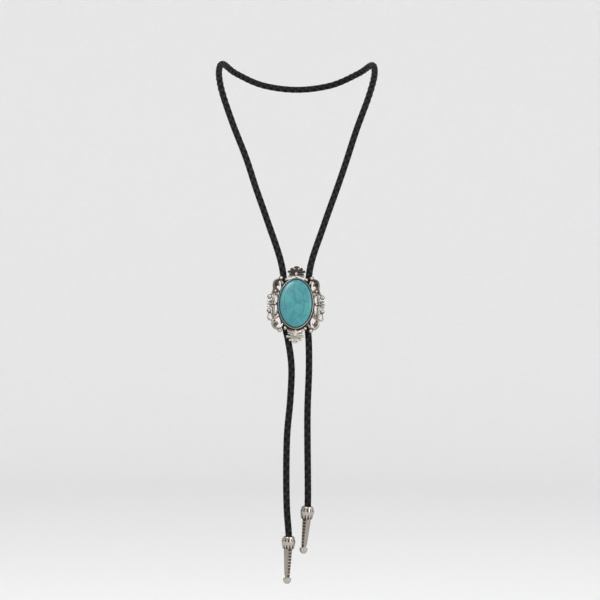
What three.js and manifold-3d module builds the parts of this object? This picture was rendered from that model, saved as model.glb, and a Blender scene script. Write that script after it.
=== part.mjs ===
// Bolo tie: a braided cord worn round the neck, an openwork cast slide with an oval stone that draws
// its two runs together, a clip behind the slide, and a cast tip on each end of the cord.
// Millimetres, +Z up, the wearer faces -Y. The origin is the point of the nape that the cord rests on.

import * as THREE from 'three';
import { mergeVertices } from 'three/addons/utils/BufferGeometryUtils.js';
import Module from 'manifold-3d';

const wasm = await Module();
wasm.setup();

// Driving dimensions
const DEGREE = Math.PI / 180;
const FIT_GAP = 0.3; // between pieces that touch
const FACET_ROOM = 0.1; // more room in a bore, whose flats lie inside its radius
const CUT_PAST = 1; // how far a cutter runs past the face it cuts
const CORD = { diameter: 5.7, sides: 10, steps: 80 };
const BORE_R = CORD.diameter / 2 + FIT_GAP + FACET_ROOM;

// Slide: its place on the cord, its lean back at the top and its clockwise roll, in degrees
const SLIDE = { x: -0.8, y: -170, z: -185.7, lean: 12, roll: 1.3 };
// Stone: its size, and how low its centre lies below the middle of the slide
const STONE = { width: 25.9, height: 38.7, low: 0.4, sides: 40, footShare: 0.96, footBevel: 0.6 };
const BEZEL = { floor: 1.4, wall: 0.75, rim: 5, flange: 1, flangeTop: 2, segments: 24 };
const DOME = { from: 23, slope: 28 }; // the ends of the slide bend back beyond this height
const ORNAMENT = { wireSides: 6, wireSteps: 3, ballSides: 10, ballRings: 6, dropSides: 10 };
const FLATTEN = { drop: 0.75, web: 0.35 }; // thickness of a drop or web for its width
const LIFT = { wire: 1.5, drop: 1.4, web: 0.9, flower: 2.2, ballClear: 0.2 };
const CLIP = { spacing: 18.6, wall: 0.75, plate: 1.2, top: 9, bottom: -9, segments: 10 };

// Tip: radii and distances down from the mouth
const TIP = { mouthR: 4.55, bellyR: 5.6, belly: 4, skirtR: 4.4, skirtEnd: 9.9, socket: 8 };
const SHAFT = { topR: 3.8, endR: 2.15, from: 6.4, end: 32.3, sides: 6 };
const CROWN = { petals: 12, notchTop: 5.7, notchWidth: 2, notchFloorR: 3.7 };
const SLOT = { width: 1, from: 1.1, to: 4, depth: 0.8 };
const RUNGS = { count: 8, from: 11.8, to: 29.5, height: 0.9, rise: 0.35, cornerShare: 0.7 };

// Round end of a tip, from its bottom up
const BUN = [
  { r: 0, down: 37.6 },
  { r: 2.2, down: 37 },
  { r: 3.1, down: 35.6 },
  { r: 3.25, down: 34 },
  { r: 3.1, down: 33.2 },
  { r: 1.72, down: 31.9 },
  { r: 0, down: 31.9 },
];

// Edge and top of the stone: share of its half width, and height above the back of the slide
const STONE_TOP = [
  { share: 1, height: 4.4 },
  { share: 0.965, height: 5.6 },
  { share: 0.89, height: 6.4 },
  { share: 0.72, height: 6.9 },
  { share: 0.4, height: 7.25 },
  { share: 0, height: 7.4 },
];

// Where the mouth of each tip is, its swing to the left at the bottom and its turn about its own axis
const TIPS = [
  { name: 'tip_left', x: -6.4, y: -172, z: -369.3, swing: 2.2, turn: 60 },
  { name: 'tip_right', x: 8.6, y: -172, z: -345.6, swing: 5.6, turn: 0 },
];

// Cord route as x, y, z, from the left tip's socket over the nape to the right tip's socket
const CORD_ROUTE = [
  [-6.7, -172, -376.9], [-6.4, -172, -369.3], [-8, -172, -345], [-7.8, -172, -291],
  [-5.1, -172, -260], [-4.3, -172, -234], [-7.2, -171, -213],
  [-10.4, -168.5, -199.1], [-10.3, -167.2, -193.2], [-9.9, -164.3, -179.5], [-9.8, -163, -173.7],
  [-12.3, -157, -153.7], [-24.5, -143, -116.5], [-33.1, -133, -92], [-41.3, -122.4, -67],
  [-52.9, -110, -37.1], [-62.7, -92, -7.3], [-65, -75, 8.4], [-62.8, -58, 16.1],
  [-52, -28, 11], [-29, -4.5, 3], [0, 2.85, 0],
  [29, -4.5, 3], [52.5, -28, 11], [63.4, -58, 15], [64.7, -75, 6.8], [59.9, -95, -12.4],
  [48.6, -113, -43.6], [36.7, -128.1, -80], [21.5, -146, -122.9], [10.9, -157.5, -155.3],
  [8.8, -163.1, -174.1], [8.7, -164.4, -180], [8.3, -167.3, -193.7], [8.2, -168.5, -199.5],
  [9.3, -171, -213.5], [9.6, -172, -236], [8.4, -172, -272], [8.6, -172, -345.6],
  [7.9, -172, -353.2],
];

// Ornament of the slide's right half, in its own plane: u to the right and v up from its middle
const BALLS = [
  { place: 'top_outer', u: 12.2, v: 20.5, r: 1.75 },
  { place: 'top_inner', u: 7.8, v: 19.3, r: 1.5 },
  { place: 'side_upper', u: 20.9, v: 5.2, r: 1.85 },
  { place: 'side_middle', u: 16.3, v: -0.3, r: 1.4 },
  { place: 'side_lower', u: 21, v: -6, r: 1.85 },
  { place: 'bottom_inner', u: 7.8, v: -19.9, r: 1.6 },
  { place: 'bottom_outer', u: 12.3, v: -21.7, r: 1.7 },
];

// Scroll wires: radius and the points they pass through
const WIRES = [
  { place: 'upper_scroll', r: 1,
    path: [[10.2, 15.2], [12.2, 18.4], [14.6, 19.2], [16.9, 18], [17.7, 15.4], [17.6, 12.2], [18.1, 9.6],
      [20.4, 6]] },
  { place: 'upper_curl', r: 0.8,
    path: [[17.2, 16.8], [15.6, 17], [14.2, 16.2], [13.8, 15], [14.4, 14.2]] },
  { place: 'lower_scroll', r: 1,
    path: [[17.3, -12.6], [18, -14.6], [17.9, -17.2], [16.4, -19.4], [14.4, -20.2], [12.2, -19.4],
      [10.2, -17], [9.5, -15.6]] },
  { place: 'lower_curl', r: 0.8,
    path: [[17.6, -16.4], [16.2, -15.2], [14.8, -15.2], [14, -16.2], [14.4, -17.2]] },
  { place: 'side_loop', r: 0.7,
    path: [[20.4, -6.6], [18.8, -9.3], [18.1, -11.5], [19, -13.1], [20.7, -13.1], [21.65, -11.8],
      [21.4, -9.8], [20.8, -6.6]] },
];

// Leaves, stems and ribs: drops that run from one point and radius to another
const DROPS = [
  { place: 'upper_leaf', u: 17, v: 13.6, r: 0.7, u2: 14.1, v2: 9.9, r2: 1.15 },
  { place: 'upper_small_leaf', u: 15.9, v: 8.8, r: 1.05, u2: 14.5, v2: 5.2, r2: 0.6 },
  { place: 'upper_stem', u: 17, v: 9.6, r: 0.5, u2: 17.9, v2: 2.2, r2: 1.3 },
  { place: 'upper_rib', u: 19.2, v: 1.9, r: 0.8, u2: 21.8, v2: 1.9, r2: 0.8 },
  { place: 'middle_rib', u: 17, v: -0.3, r: 0.85, u2: 22.2, v2: -0.3, r2: 0.85 },
  { place: 'lower_rib', u: 19.2, v: -2.5, r: 0.8, u2: 22, v2: -2.5, r2: 0.8 },
  { place: 'lower_stem', u: 17.9, v: -2.6, r: 1.3, u2: 17.1, v2: -12.2, r2: 0.65 },
  { place: 'lower_small_leaf', u: 14.6, v: -6, r: 0.85, u2: 15.7, v2: -10, r2: 0.6 },
  { place: 'lower_leaf', u: 13.5, v: -9.6, r: 1, u2: 16.9, v2: -12.8, r2: 0.7 },
];

// Thin webs that fill the scrolls
const WEBS = [
  { place: 'upper_web', u: 15.4, v: 17.2, r: 1.7, u2: 16.4, v2: 13.6, r2: 1 },
  { place: 'lower_web', u: 15.9, v: -17.2, r: 1.7, u2: 16.7, v2: -14.2, r2: 1.2 },
];

// Half of the flower at each end, and the petals on its middle line, with v counted away from the stone
const FLOWER = [
  { place: 'inner_leaf', u: 1.6, v: 23.3, r: 0.75, u2: 5.4, v2: 22.1, r2: 1.1 },
  { place: 'second_leaf', u: 1.2, v: 24.7, r: 0.55, u2: 5.4, v2: 24, r2: 0.65 },
  { place: 'level_petal', u: 0.9, v: 26.2, r: 0.65, u2: 6.1, v2: 26.2, r2: 1.1 },
  { place: 'slant_petal', u: 0.9, v: 27, r: 0.6, u2: 3.9, v2: 28.5, r2: 1.25 },
];
const FLOWER_MIDDLE = [
  { place: 'heart', u: 0, v: 22, r: 1.3, u2: 0, v2: 24.8, r2: 1.75 },
  { place: 'end_petal', u: 0, v: 27, r: 0.7, u2: 0, v2: 29.5, r2: 1.3 },
];
const SCALLOP = { r: 0.6, path: [[-2.4, 29.3], [-1.4, 30.4], [0, 30.8], [1.4, 30.4], [2.4, 29.3]] };

// Finishes
const FINISH = {
  cord: { color: 0x1c1b1b, roughness: 0.55, metalness: 0 },
  silver: { color: 0xb9b4ab, roughness: 0.32, metalness: 1 },
  stone: { color: 0x63b3b8, roughness: 0.25, metalness: 0 },
};

// Joins a geometry's vertices and drops the faces that close up at a pole
function welded(geometry) {
  const bare = geometry.clone();
  bare.deleteAttribute('normal');
  bare.deleteAttribute('uv');
  const merged = mergeVertices(bare);
  const faces = [];
  for (let i = 0; i < merged.index.count; i += 3) {
    const corners = [0, 1, 2].map((k) => merged.index.getX(i + k));
    if (new Set(corners).size === 3) faces.push(...corners);
  }
  merged.setIndex(faces);
  return merged;
}

function solid(geometry) {
  const merged = welded(geometry);
  const vertProperties = new Float32Array(merged.attributes.position.array);
  const triVerts = new Uint32Array(merged.index.array);
  return new wasm.Manifold(new wasm.Mesh({ numProp: 3, vertProperties, triVerts }));
}

function geometryOf(body) {
  const { vertProperties, triVerts } = body.getMesh();
  const geometry = new THREE.BufferGeometry();
  geometry.setAttribute('position', new THREE.BufferAttribute(vertProperties, 3));
  geometry.setIndex(new THREE.BufferAttribute(triVerts, 1));
  geometry.computeVertexNormals();
  return geometry;
}

const joined = (geometries) => geometries.map(solid).reduce((body, next) => body.add(next));
const cut = (body, geometries) => geometries.map(solid).reduce((rest, next) => rest.subtract(next), body);

function named(name, geometry, finish) {
  const mesh = new THREE.Mesh(geometry, new THREE.MeshStandardMaterial(finish));
  mesh.name = name;
  return mesh;
}

// A round bar along a smooth curve
function bar(points, radius, sides, steps) {
  const middle = new THREE.Vector2();
  const corner = (i) => new THREE.Vector2(radius, 0).rotateAround(middle, (i / sides) * 2 * Math.PI);
  const section = new THREE.Shape(Array.from({ length: sides }, (_, i) => corner(i)));
  const extrudePath = new THREE.CatmullRomCurve3(points);
  return new THREE.ExtrudeGeometry(section, { steps, extrudePath, bevelEnabled: false });
}

// A point of the slide's plane, lowered where the ends bend back
const onDome = (u, v, lift) =>
  new THREE.Vector3(u, v, lift - Math.max(0, Math.abs(v) - DOME.from) * Math.tan(DOME.slope * DEGREE));

function wire({ path, r }, side, end, lift) {
  const points = path.map(([u, v]) => onDome(side * u, end * v, lift));
  return bar(points, r, ORNAMENT.wireSides, (path.length - 1) * ORNAMENT.wireSteps);
}

// A flattened drop with round ends
function drop({ u, v, r, u2, v2, r2 }, side, end, lift, flatten = FLATTEN.drop) {
  const start = onDome(side * u, end * v, lift);
  const finish = onDome(side * u2, end * v2, lift);
  const length = start.distanceTo(finish);
  const slant = Math.SQRT1_2;
  const profile = [
    [0, -r], [r * slant, -r * slant], [r, 0],
    [r2, length], [r2 * slant, length + r2 * slant], [0, length + r2],
  ].map(([x, y]) => new THREE.Vector2(x, y));
  const geometry = new THREE.LatheGeometry(profile, ORNAMENT.dropSides);
  geometry.scale(1, 1, flatten);
  const direction = finish.clone().sub(start).normalize();
  const lathed = new THREE.Vector3(0, 1, 0);
  geometry.applyQuaternion(new THREE.Quaternion().setFromUnitVectors(lathed, direction));
  return geometry.translate(...start.toArray());
}

function ball({ u, v, r }, side) {
  const geometry = new THREE.SphereGeometry(r, ORNAMENT.ballSides, ORNAMENT.ballRings);
  geometry.rotateX(Math.PI / 2);
  return geometry.translate(side * u, v, r + LIFT.ballClear);
}

// An oval plate or ring, grown outwards from the stone's outline
function oval(grow, from, to, hole) {
  const shape = new THREE.Shape();
  shape.absellipse(0, -STONE.low, STONE.width / 2 + grow, STONE.height / 2 + grow, 0, 2 * Math.PI);
  if (hole !== undefined) {
    const inside = new THREE.Path();
    inside.absellipse(0, -STONE.low, STONE.width / 2 + hole, STONE.height / 2 + hole, 0, 2 * Math.PI);
    shape.holes.push(inside);
  }
  const options = { depth: to - from, bevelEnabled: false, curveSegments: BEZEL.segments };
  return new THREE.ExtrudeGeometry(shape, options).translate(0, 0, from);
}

// One casting: bezel cup, scrolls, leaves, balls and the flower at each end
function slideFrame() {
  const wallGrow = FIT_GAP + BEZEL.wall;
  const pieces = [
    oval(wallGrow, 0, BEZEL.floor),
    oval(wallGrow, 0, BEZEL.rim, FIT_GAP),
    oval(wallGrow + BEZEL.flange, 0, BEZEL.flangeTop, FIT_GAP),
  ];
  for (const side of [1, -1]) {
    pieces.push(...BALLS.map((row) => ball(row, side)));
    pieces.push(...WIRES.map((row) => wire(row, side, 1, LIFT.wire)));
    pieces.push(...DROPS.map((row) => drop(row, side, 1, LIFT.drop)));
    pieces.push(...WEBS.map((row) => drop(row, side, 1, LIFT.web, FLATTEN.web)));
  }
  for (const end of [1, -1]) {
    pieces.push(...[1, -1].flatMap((side) => FLOWER.map((row) => drop(row, side, end, LIFT.flower))));
    pieces.push(...FLOWER_MIDDLE.map((row) => drop(row, 1, end, LIFT.flower)));
    pieces.push(wire(SCALLOP, 1, end, LIFT.flower));
  }
  return geometryOf(joined(pieces));
}

// A low cabochon with a rounded edge, drawn as a round one and then made oval
function cabochon() {
  const foot = BEZEL.floor + FIT_GAP;
  const profile = [
    { share: 0, height: foot }, { share: STONE.footShare, height: foot },
    { share: 1, height: foot + STONE.footBevel }, ...STONE_TOP,
  ].map(({ share, height }) => new THREE.Vector2(share, height));
  const geometry = new THREE.LatheGeometry(profile, STONE.sides);
  geometry.rotateX(Math.PI / 2).scale(STONE.width / 2, STONE.height / 2, 1);
  return geometryOf(solid(geometry.translate(0, -STONE.low, 0)));
}

// A plate with a tube along each side, drawn as one outline across the cords
function cordClip() {
  const tubeR = BORE_R + CLIP.wall;
  const axis = -FIT_GAP - tubeR;
  const half = CLIP.spacing / 2;
  const meet = Math.asin((tubeR - CLIP.plate) / tubeR);
  const outline = new THREE.Shape();
  outline.absarc(half, axis, tubeR, Math.PI / 2, -Math.PI - meet, true);
  outline.absarc(-half, axis, tubeR, meet, Math.PI / 2, true);
  outline.closePath();
  outline.holes = [half, -half].map((x) => new THREE.Path().absarc(x, axis, BORE_R, 0, 2 * Math.PI));
  const options = { depth: CLIP.top - CLIP.bottom, bevelEnabled: false, curveSegments: CLIP.segments };
  const geometry = new THREE.ExtrudeGeometry(outline, options);
  return geometry.rotateX(Math.PI / 2).translate(0, CLIP.top, 0);
}

// A solid of revolution whose profile is radius against distance down from the mouth
function turned(profile, sides) {
  const points = profile.map(([r, down]) => new THREE.Vector2(r, -down));
  return new THREE.LatheGeometry(points, sides).rotateX(Math.PI / 2);
}

// A copy of a shape, turned about the tip's axis
const roundAxis = (geometry, angle) => geometry.clone().rotateZ(angle);

// One casting: slotted and toothed crown, six-sided shaft with rungs on every other face, round end
function tip() {
  const crown = turned([
    [0, TIP.skirtEnd], [TIP.skirtR, TIP.skirtEnd], [TIP.bellyR, TIP.belly], [TIP.mouthR, 0], [0, 0],
  ], CROWN.petals * 2);
  const shaft = turned([
    [0, SHAFT.end], [SHAFT.endR, SHAFT.end], [SHAFT.topR, SHAFT.from], [0, SHAFT.from],
  ], SHAFT.sides);
  const bun = turned(BUN.map(({ r, down }) => [r, down]), CROWN.petals);
  const petalAngle = (2 * Math.PI) / CROWN.petals;
  const slot = new THREE.BoxGeometry(SLOT.width, 2 * SLOT.depth, SLOT.to - SLOT.from)
    .translate(0, -TIP.bellyR, -(SLOT.from + SLOT.to) / 2);
  const below = TIP.skirtEnd + CUT_PAST;
  const notchShape = new THREE.Shape([
    new THREE.Vector2(0, -CROWN.notchTop), new THREE.Vector2(-CROWN.notchWidth / 2, -below),
    new THREE.Vector2(CROWN.notchWidth / 2, -below),
  ]);
  const notch = new THREE.ExtrudeGeometry(notchShape, { depth: TIP.bellyR, bevelEnabled: false })
    .rotateX(Math.PI / 2).translate(0, -CROWN.notchFloorR, 0);
  const petals = Array.from({ length: CROWN.petals }, (_, i) => i);
  const cutters = petals.flatMap((i) => [
    roundAxis(slot, i * petalAngle), roundAxis(notch, (i + 0.5) * petalAngle),
  ]);
  const rungs = [];
  for (let i = 0; i < RUNGS.count; i += 1) {
    const down = RUNGS.from + ((RUNGS.to - RUNGS.from) * i) / (RUNGS.count - 1);
    const share = (down - SHAFT.from) / (SHAFT.end - SHAFT.from);
    const corner = SHAFT.topR + (SHAFT.endR - SHAFT.topR) * share;
    const flat = corner * Math.cos(Math.PI / SHAFT.sides);
    const rung = new THREE.BoxGeometry(corner * RUNGS.cornerShare, 2 * RUNGS.rise, RUNGS.height)
      .translate(0, -flat, -down);
    for (let face = 0; face < SHAFT.sides; face += 2) {
      rungs.push(roundAxis(rung, ((face - 0.5) * 2 * Math.PI) / SHAFT.sides));
    }
  }
  const socket = turned([
    [0, TIP.socket], [BORE_R, TIP.socket], [BORE_R, -CUT_PAST], [0, -CUT_PAST],
  ], CROWN.petals * 2);
  const outside = cut(solid(crown), cutters).add(joined([shaft, bun, ...rungs]));
  return geometryOf(cut(outside, [socket]));
}

const tie = new THREE.Group();

const route = CORD_ROUTE.map((point) => new THREE.Vector3(...point));
tie.add(named('braided_cord', bar(route, CORD.diameter / 2, CORD.sides, CORD.steps), FINISH.cord));

const slide = new THREE.Group();
slide.position.set(SLIDE.x, SLIDE.y, SLIDE.z);
slide.rotation.set((90 - SLIDE.lean) * DEGREE, 0, -SLIDE.roll * DEGREE);
slide.add(named('slide_frame', slideFrame(), FINISH.silver));
slide.add(named('stone', cabochon(), FINISH.stone));
slide.add(named('cord_clip', cordClip(), FINISH.silver));
tie.add(slide);

const tipShape = tip();
for (const { name, x, y, z, swing, turn } of TIPS) {
  const mesh = named(name, tipShape, FINISH.silver);
  mesh.position.set(x, y, z);
  mesh.rotation.set(0, swing * DEGREE, turn * DEGREE);
  tie.add(mesh);
}

export default tie;
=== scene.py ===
import math

import bmesh
import bpy
import numpy as np
from mathutils import Matrix, Vector


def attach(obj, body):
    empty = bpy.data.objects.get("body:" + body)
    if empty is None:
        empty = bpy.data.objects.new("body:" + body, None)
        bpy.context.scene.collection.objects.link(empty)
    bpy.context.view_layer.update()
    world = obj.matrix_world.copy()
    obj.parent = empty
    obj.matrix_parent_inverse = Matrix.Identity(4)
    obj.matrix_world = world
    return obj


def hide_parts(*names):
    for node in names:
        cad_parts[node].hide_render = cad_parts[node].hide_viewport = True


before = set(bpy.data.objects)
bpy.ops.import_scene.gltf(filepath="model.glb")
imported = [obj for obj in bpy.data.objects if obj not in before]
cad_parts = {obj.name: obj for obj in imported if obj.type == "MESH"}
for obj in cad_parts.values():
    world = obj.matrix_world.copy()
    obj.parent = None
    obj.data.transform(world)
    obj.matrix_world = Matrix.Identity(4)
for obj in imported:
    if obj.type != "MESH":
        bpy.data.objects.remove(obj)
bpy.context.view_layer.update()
scene = bpy.context.scene
MM = 0.001

# Camera: the photograph's view, level with the slide
CAMERA_PLACE = (0.0025, -1.96, -0.1824)
CAMERA_LENS = 135.7

# Cord route in millimetres, from the left tip's socket over the nape to the right tip's socket
CORD_ROUTE = [
    (-6.7, -172, -376.9), (-6.4, -172, -369.3), (-8, -172, -345), (-7.8, -172, -291),
    (-5.1, -172, -260), (-4.3, -172, -234), (-7.2, -171, -213),
    (-10.4, -168.5, -199.1), (-10.3, -167.2, -193.2), (-9.9, -164.3, -179.5), (-9.8, -163, -173.7),
    (-12.3, -157, -153.7), (-24.5, -143, -116.5), (-33.1, -133, -92), (-41.3, -122.4, -67),
    (-52.9, -110, -37.1), (-62.7, -92, -7.3), (-65, -75, 8.4), (-62.8, -58, 16.1),
    (-52, -28, 11), (-29, -4.5, 3), (0, 2.85, 0),
    (29, -4.5, 3), (52.5, -28, 11), (63.4, -58, 15), (64.7, -75, 6.8), (59.9, -95, -12.4),
    (48.6, -113, -43.6), (36.7, -128.1, -80), (21.5, -146, -122.9), (10.9, -157.5, -155.3),
    (8.8, -163.1, -174.1), (8.7, -164.4, -180), (8.3, -167.3, -193.7), (8.2, -168.5, -199.5),
    (9.3, -171, -213.5), (9.6, -172, -236), (8.4, -172, -272), (8.6, -172, -345.6),
    (7.9, -172, -353.2),
]
ROUTE_STEPS = 14
CORD_R = 2.85 * MM
BRAID = {"laces": 4, "lay": 13 * MM, "step": 0.64 * MM, "weave": 0.17 * MM, "row_turn": math.pi / 4}
# In front of the first depth the braid's rows look forwards, and behind the second outwards from the neck
BRAID_FACE = {"front": -0.11, "side": -0.075, "neck": (0, -0.06)}
LACE = {"width": 4.1 * MM, "thickness": 1.3 * MM, "bend": 4.2 * MM, "blunt": 0.6, "sides": 12}
CORE = {"radius": 1.5 * MM, "sides": 8}

# Slide: its place on the cord, its lean back at the top and its clockwise roll, in degrees
SLIDE_PLACE = Vector((-0.0008, -0.17, -0.1857))
SLIDE_LEAN = 12
SLIDE_ROLL = 1.3
# Stone: half its width and height, and how low its centre lies below the middle of the slide
STONE_HALF = (12.95 * MM, 19.35 * MM)
STONE_LOW = 0.4 * MM
# Room between pieces that rest on each other
FIT_GAP = 0.3 * MM
SLIDE_FRAME = (Matrix.Translation(SLIDE_PLACE) @ Matrix.Rotation(math.radians(90 - SLIDE_LEAN), 4, "X")
               @ Matrix.Rotation(math.radians(-SLIDE_ROLL), 4, "Z"))
# The ends of the slide bend back by this angle beyond this height
DOME_FROM = 23 * MM
DOME_ANGLE = math.radians(28)
LIFT = {"wire": 1.5 * MM, "drop": 1.4 * MM, "web": 0.9 * MM, "flower": 2.2 * MM, "ball_clear": 0.2 * MM}
FLATTEN = {"bar": 0.75, "web": 0.35}
# Wires thin by a share towards their ends and then close, and drops have a slight belly, in millimetres
WIRE = {"steps": 10, "thin": 0.25, "thin_power": 4, "close": 0.97, "close_power": 24}
DROP = {"steps": 19, "first": 0.02, "last": 0.98, "belly": 0.12}
BAR_SIDES = 14
BALL_FINENESS = 4

# Ornament of the slide's right half in millimetres, u to the right and v up from its middle
BALLS = {  # u, v, radius
    "top_outer": (12.2, 20.5, 1.75),
    "top_inner": (7.8, 19.3, 1.5),
    "side_upper": (20.9, 5.2, 1.85),
    "side_middle": (16.3, -0.3, 1.4),
    "side_lower": (21, -6, 1.85),
    "bottom_inner": (7.8, -19.9, 1.6),
    "bottom_outer": (12.3, -21.7, 1.7),
}
WIRES = {  # radius, then the points that the wire passes through
    "upper_scroll": (1, [(10.2, 15.2), (12.2, 18.4), (14.6, 19.2), (16.9, 18), (17.7, 15.4), (17.6, 12.2),
                         (18.1, 9.6), (20.4, 6)]),
    "upper_curl": (0.8, [(17.2, 16.8), (15.6, 17), (14.2, 16.2), (13.8, 15), (14.4, 14.2)]),
    "lower_scroll": (1, [(17.3, -12.6), (18, -14.6), (17.9, -17.2), (16.4, -19.4), (14.4, -20.2),
                         (12.2, -19.4), (10.2, -17), (9.5, -15.6)]),
    "lower_curl": (0.8, [(17.6, -16.4), (16.2, -15.2), (14.8, -15.2), (14, -16.2), (14.4, -17.2)]),
    "side_loop": (0.7, [(20.4, -6.6), (18.8, -9.3), (18.1, -11.5), (19, -13.1), (20.7, -13.1),
                        (21.65, -11.8), (21.4, -9.8), (20.8, -6.6)]),
}
DROPS = {  # u, v, radius at one end, then at the other
    "upper_leaf": (17, 13.6, 0.7, 14.1, 9.9, 1.15),
    "upper_small_leaf": (15.9, 8.8, 1.05, 14.5, 5.2, 0.6),
    "upper_stem": (17, 9.6, 0.5, 17.9, 2.2, 1.3),
    "upper_rib": (19.2, 1.9, 0.8, 21.8, 1.9, 0.8),
    "middle_rib": (17, -0.3, 0.85, 22.2, -0.3, 0.85),
    "lower_rib": (19.2, -2.5, 0.8, 22, -2.5, 0.8),
    "lower_stem": (17.9, -2.6, 1.3, 17.1, -12.2, 0.65),
    "lower_small_leaf": (14.6, -6, 0.85, 15.7, -10, 0.6),
    "lower_leaf": (13.5, -9.6, 1, 16.9, -12.8, 0.7),
}
# Thin webs that fill the scrolls
WEBS = {
    "upper_web": (15.4, 17.2, 1.7, 16.4, 13.6, 1),
    "lower_web": (15.9, -17.2, 1.7, 16.7, -14.2, 1.2),
}
# Half of the flower at each end, and what lies on its middle line, with v counted away from the stone
FLOWER = {
    "inner_leaf": (1.6, 23.3, 0.75, 5.4, 22.1, 1.1),
    "second_leaf": (1.2, 24.7, 0.55, 5.4, 24, 0.65),
    "level_petal": (0.9, 26.2, 0.65, 6.1, 26.2, 1.1),
    "slant_petal": (0.9, 27, 0.6, 3.9, 28.5, 1.25),
}
FLOWER_MIDDLE = {"heart": (0, 22, 1.3, 0, 24.8, 1.75), "end_petal": (0, 27, 0.7, 0, 29.5, 1.3)}
SCALLOP = (0.6, [(-2.4, 29.3), (-1.4, 30.4), (0, 30.8), (1.4, 30.4), (2.4, 29.3)])

# Stone: share of its outline against height above the back of the slide, in millimetres
STONE_PROFILE = [(0, 1.7), (0.96, 1.7), (1, 2.3), (1, 4.4), (0.965, 5.6), (0.89, 6.4), (0.72, 6.9),
                 (0.4, 7.25), (0, 7.4)]
STONE_STEPS = 5
STONE_SIDES = 128
# Bezel cup: share of the stone's outline, how far outside it, height, and how dark the silver has gone there
CUP_PROFILE = [
    (0, 0, 1.4, 0.4), (0.9, 0, 1.4, 0.8), (1, 0.2, 1.4, 1), (1, 0.3, 1.6, 1), (1, 0.3, 4.5, 0.9),
    (1, 0.33, 4.8, 0.8), (1, 0.45, 5.02, 0.4), (1, 0.68, 5.1, -0.2), (1, 0.88, 5.04, -0.4), (1, 1, 4.85, 0),
    (1, 1.05, 4.5, 0.3), (1, 1.05, 2.6, 0.5), (1, 1.09, 2.2, 0.9), (1, 1.25, 2.04, 1), (1, 1.55, 2, 0.8),
    (1, 1.9, 1.93, 0.4), (1, 2.03, 1.75, 0.3), (1, 2.05, 1.4, 0.5), (1, 2.05, 0.3, 0.5), (1, 1.95, 0.1, 0.1),
    (1, 1.75, 0, 0.1), (0.9, 0, 0, 0.1), (0, 0, 0, 0.1),
]
CUP_SIDES = 120
# Castings: size of their faces, and how far and often their creases are softened
GRAIN = {"slide": 0.2 * MM, "tip": 0.15 * MM}
SOFTEN = {"share": 0.5, "times": 3}
# How dark the slide's silver is in its different places: patina in the hollows and on the back, painted
# shade on the flanks, the upper flower and the upper scrolls, and painted highlights on the balls, the lower
# flower and the flower beads
PATINA_AND_PAINTED_LIGHT = {
    "reach": 0.9 * MM, "depth": 0.9 * MM, "rubbed": 0.35, "flank_shade": 1, "flank_shade_facing": (0.4, 0.9),
    "upper_flower_shade": 0.75, "lower_flower_highlight": -0.32, "upper_scroll": 0.4, "scroll_from": (13 * MM, 8 * MM),
    "ball": -0.1, "bar": 0.1, "back": 0.15, "bead_highlight": 1, "bead_at": 24.4 * MM, "bead_size": 1.5 * MM,
}
# Dark veins of the stone in millimetres, each a run of u, v points, and a distance beyond them all
VEINS = [
    [(0.5, 19), (-1.9, 12.7), (-1.2, 7.9), (-0.7, 4.1), (0.5, 0)],
    [(0.5, 0), (-1.9, -2.6), (-4.3, -4.1), (-7.2, -5), (-10.6, -5.4)],
    [(0.5, 0), (2.9, -0.5), (6.5, -1.4)],
    [(6.7, 1.2), (6.5, -4.6), (5.8, -7.4), (4.3, -8.9), (1, -11.8), (0, -13.4)],
    [(6.7, 1.2), (12.7, 1.4)],
    [(-9.1, 5), (-8.9, 0.2), (-7.2, -5)],
    [(1, 11.8), (3.8, 9.8), (5.3, 7.9), (6.7, 1.2)],
    [(-5.8, 11.8), (-3.8, 9.8), (-1.2, 7.9)],
    [(-7.2, -5), (-8.2, -9.4), (-6.7, -14.2)],
]
BEYOND_VEINS = 100

# Clip behind the slide: two tubes joined by a plate
CLIP = {"spacing": 18.6 * MM, "wall": 0.75 * MM, "plate": 1.2 * MM, "height": 18 * MM, "arc_steps": 40}
BORE_R = 3.25 * MM
EDGE_ROUND = 0.25 * MM
EDGE_STEPS = 2
MERGE = 0.01 * MM

# Tips: mouth, swing to the left at the bottom and turn about the tip's own axis, in degrees
TIPS = {
    "tip_left": ((-0.0064, -0.172, -0.3693), 2.2, 60),
    "tip_right": ((0.0086, -0.172, -0.3456), 5.6, 0),
}
# Radius against distance down from the mouth, in millimetres, and the rows that show outside
TIP_CROWN = [
    (0, 8), (3.25, 8), (3.25, 0.3), (3.45, 0), (4.25, 0), (4.55, 0.25), (4.76, 0.8), (5.27, 2.6), (5.6, 4),
    (5.5, 4.7), (5.05, 7.1), (4.4, 9.9), (3.4, 9.9), (3.2, 8.6), (0, 8.6),
]
CROWN_OUTSIDE = TIP_CROWN[5:12]
TIP_SHAFT = [(0, 8.2), (3.7, 8.2), (2.15, 32.3), (0, 32.3)]
TIP_BUN = [
    (0, 31.2), (1.75, 31.2), (1.75, 32.6), (3, 32.9), (3.25, 33.25), (3.28, 34), (3.15, 35.1), (2.75, 36.1),
    (2.05, 37), (1.1, 37.5), (0, 37.6),
]
BUN_OUTSIDE = TIP_BUN[2:]
TIP_SIDES = {"crown": 96, "shaft": 6, "bun": 48}
# Crown of a tip: slots in its petals, and notches between the teeth below them, in millimetres
CROWN = {"petals": 12, "slot_width": 1, "slot_from": 1.1, "slot_to": 4, "slot_floor": 4.5, "notch_top": 5.7,
         "notch_width": 2, "notch_floor": 3.65, "notch_end": 10.3, "cut_from": 7}
# Ladders on every other face of the shaft, in millimetres. The rails' across is a share of half a face
LADDER = {"faces": 3, "rungs": 8, "from": 11.9, "to": 29.5, "radius": 0.34, "lift": 0.1, "steps": 9,
          "sides": 10}
RAIL = {"across": 0.86, "from": 10.7, "to": 30.3, "radius": 0.26, "steps": 24}
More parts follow.
